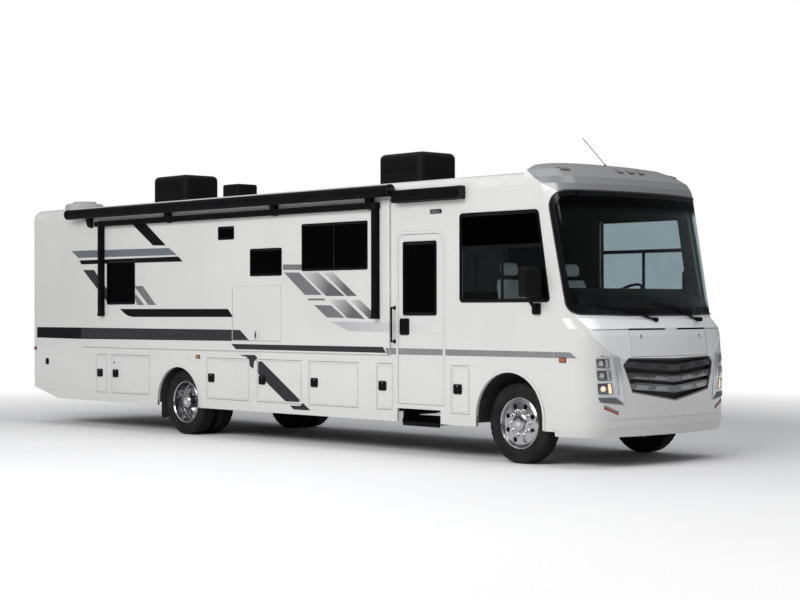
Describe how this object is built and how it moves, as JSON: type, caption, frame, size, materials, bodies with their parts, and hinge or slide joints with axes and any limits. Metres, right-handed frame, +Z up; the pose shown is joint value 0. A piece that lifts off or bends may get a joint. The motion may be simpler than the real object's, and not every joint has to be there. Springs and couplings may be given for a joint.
{
  "type": "motorhome",
  "caption": "Full-size bus-style motorhome with a slide-out room, side awning, luggage doors, hinged entry door, steered front axle and dual rear wheels.",
  "frame": {"origin": "on the ground, under the middle of the overall length and width", "axes": "+X forward, +Y to the left side of the vehicle, +Z up"},
  "size_m": [11.64, 3.18, 3.795],
  "materials": {
    "white_gelcoat": "gloss paint",
    "roof_membrane": "matt membrane",
    "tinted_glass": "dark tinted",
    "screen_glass": "lightly tinted",
    "black_plastic": "satin",
    "black_paint": "satin",
    "lamp_lens": "clear and amber lenses",
    "grille_grey": "dark grey metallic",
    "tyre_rubber": "road tyre",
    "polished_alloy": "polished",
    "chassis_steel": "black chassis paint",
    "galvanised": "galvanised sheet",
    "floor_ply": "sealed plywood",
    "cast_parts": "cast",
    "seat_leather": "pale",
    "dash_trim": "grained",
    "interior_board": "laminate",
    "well_liner": "moulded"
  },
  "bodies": {
    "coach": {"cab_seats": "seat_leather", "dashboard": "dash_trim", "door_awning": "black_paint", "engine": "cast_parts", "entry_well": "galvanised", "exhaust": "galvanised", "floor": "floor_ply", "frame_rails": "chassis_steel", "front_axle": "cast_parts", "front_cap": "white_gelcoat", "fuel_tank": "black_plastic", "grab_handle": "black_paint", "grille": "grille_grey", "hitch_receiver": "chassis_steel", "lamps": "lamp_lens", "leaf_springs": "chassis_steel", "luggage_bays": "galvanised", "mirrors": "black_plastic", "rear_axle": "cast_parts", "rear_cap": "white_gelcoat", "roof": "roof_membrane", "roof_units": "black_plastic", "side_skirts": "white_gelcoat", "side_walls": "white_gelcoat", "side_windows": "tinted_glass", "wheel_wells": "well_liner", "windscreen": "screen_glass", "wipers": "black_plastic"},
    "hood": {"hood": "white_gelcoat"},
    "slide_room": {"slide_wall": "white_gelcoat", "slide_box": "interior_board", "slide_windows": "tinted_glass", "patio_awning": "black_paint"},
    "kitchen_door": {"kitchen_door": "white_gelcoat"},
    "entry_door": {"entry_door": "white_gelcoat", "entry_door_glass": "tinted_glass"},
    "entry_step": {"entry_step": "black_paint"},
    "knuckle_left": {"knuckle_left": "cast_parts"},
    "knuckle_right": {"knuckle_right": "cast_parts"},
    "tie_rod": {"tie_rod": "chassis_steel"},
    "steering_wheel": {"steering_wheel": "black_plastic"},
    "wheel_front_left": {"tyre_front_left": "tyre_rubber", "rim_front_left": "polished_alloy"},
    "wheel_front_right": {"tyre_front_right": "tyre_rubber", "rim_front_right": "polished_alloy"},
    "wheels_rear_left": {"tyres_rear_left": "tyre_rubber", "rims_rear_left": "polished_alloy"},
    "wheels_rear_right": {"tyres_rear_right": "tyre_rubber", "rims_rear_right": "polished_alloy"},
    "door_right_a": {"door_right_a": "white_gelcoat"},
    "door_right_b": {"door_right_b": "white_gelcoat"},
    "door_right_c": {"door_right_c": "white_gelcoat"},
    "door_right_d": {"door_right_d": "white_gelcoat"},
    "door_right_e": {"door_right_e": "white_gelcoat"},
    "door_right_f": {"door_right_f": "white_gelcoat"},
    "door_right_g": {"door_right_g": "white_gelcoat"},
    "door_left_a": {"door_left_a": "white_gelcoat"},
    "door_left_b": {"door_left_b": "white_gelcoat"},
    "door_left_c": {"door_left_c": "white_gelcoat"},
    "door_left_d": {"door_left_d": "white_gelcoat"}
  },
  "joints": [
    {"name": "steer_left", "type": "hinge", "parent": "coach", "child": "knuckle_left", "pos_m": [4.52, 0.93, 0.46], "axis": [0, 0, 1], "range_deg": [-40, 40]},
    {"name": "steer_right", "type": "hinge", "parent": "coach", "child": "knuckle_right", "pos_m": [4.52, -0.93, 0.46], "axis": [0, 0, 1], "range_deg": [-40, 40]},
    {"name": "spin_front_left", "type": "hinge", "parent": "knuckle_left", "child": "wheel_front_left", "pos_m": [4.52, 1.0925, 0.46], "axis": [0, 1, 0], "continuous": true},
    {"name": "spin_rear_left", "type": "hinge", "parent": "coach", "child": "wheels_rear_left", "pos_m": [-1.88, 1.0925, 0.46], "axis": [0, 1, 0], "continuous": true},
    {"name": "spin_front_right", "type": "hinge", "parent": "knuckle_right", "child": "wheel_front_right", "pos_m": [4.52, -1.0925, 0.46], "axis": [0, 1, 0], "continuous": true},
    {"name": "spin_rear_right", "type": "hinge", "parent": "coach", "child": "wheels_rear_right", "pos_m": [-1.88, -1.0925, 0.46], "axis": [0, 1, 0], "continuous": true},
    {"name": "tie_rod_pivot", "type": "hinge", "parent": "knuckle_left", "child": "tie_rod", "pos_m": [4.31, 0.93, 0.365], "axis": [0, 0, 1], "range_deg": [-40, 40]},
    {"name": "steering_wheel_turn", "type": "hinge", "parent": "coach", "child": "steering_wheel", "pos_m": [4.65, 0.56, 1.93], "axis": [-0.5736, 0, 0.8192], "range_deg": [-720, 720]},
    {"name": "hood_lift", "type": "hinge", "parent": "coach", "child": "hood", "pos_m": [5.76, 0, 1.535], "axis": [0, -1, 0], "range_deg": [0, 60]},
    {"name": "slide_room_out", "type": "slide", "parent": "coach", "child": "slide_room", "axis": [0, -1, 0], "range_m": [0, 0.61]},
    {"name": "kitchen_door_lift", "type": "hinge", "parent": "slide_room", "child": "kitchen_door", "pos_m": [-0.1295, -1.3085, 2.075], "axis": [-1, 0, 0], "range_deg": [0, 90]},
    {"name": "entry_door_swing", "type": "hinge", "parent": "coach", "child": "entry_door", "pos_m": [3.382, -1.2825, 1.6405], "axis": [0, 0, 1], "range_deg": [0, 105]},
    {"name": "entry_step_out", "type": "slide", "parent": "coach", "child": "entry_step", "axis": [0, -1, 0], "range_m": [0, 0.32]},
    {"name": "swing_right_a", "type": "hinge", "parent": "coach", "child": "door_right_a", "pos_m": [-3.726, -1.2825, 0.815], "axis": [0, 0, 1], "range_deg": [0, 100]},
    {"name": "swing_right_b", "type": "hinge", "parent": "coach", "child": "door_right_b", "pos_m": [-2.619, -1.2825, 0.815], "axis": [0, 0, 1], "range_deg": [0, 100]},
    {"name": "swing_right_c", "type": "hinge", "parent": "coach", "child": "door_right_c", "pos_m": [-0.321, -1.2825, 0.815], "axis": [0, 0, 1], "range_deg": [0, 100]},
    {"name": "swing_right_d", "type": "hinge", "parent": "coach", "child": "door_right_d", "pos_m": [0.772, -1.2825, 0.815], "axis": [0, 0, 1], "range_deg": [0, 100]},
    {"name": "swing_right_e", "type": "hinge", "parent": "coach", "child": "door_right_e", "pos_m": [1.877, -1.2825, 0.815], "axis": [0, 0, 1], "range_deg": [0, 100]},
    {"name": "swing_right_f", "type": "hinge", "parent": "coach", "child": "door_right_f", "pos_m": [2.514, -1.2825, 0.815], "axis": [0, 0, 1], "range_deg": [0, 100]},
    {"name": "swing_right_g", "type": "hinge", "parent": "coach", "child": "door_right_g", "pos_m": [3.821, -1.2825, 0.815], "axis": [0, 0, 1], "range_deg": [0, 100]},
    {"name": "swing_left_a", "type": "hinge", "parent": "coach", "child": "door_left_a", "pos_m": [-2.619, 1.2825, 0.815], "axis": [0, 0, -1], "range_deg": [0, 100]},
    {"name": "swing_left_b", "type": "hinge", "parent": "coach", "child": "door_left_b", "pos_m": [-0.321, 1.2825, 0.815], "axis": [0, 0, -1], "range_deg": [0, 100]},
    {"name": "swing_left_c", "type": "hinge", "parent": "coach", "child": "door_left_c", "pos_m": [0.772, 1.2825, 0.815], "axis": [0, 0, -1], "range_deg": [0, 100]},
    {"name": "swing_left_d", "type": "hinge", "parent": "coach", "child": "door_left_d", "pos_m": [1.877, 1.2825, 0.815], "axis": [0, 0, -1], "range_deg": [0, 100]}
  ],
  "couplings": [
    {"joint": "steer_right", "follows": "steer_left", "ratio": 1},
    {"joint": "tie_rod_pivot", "follows": "steer_left", "ratio": -1},
    {"joint": "steering_wheel_turn", "follows": "steer_left", "ratio": 18}
  ]
}
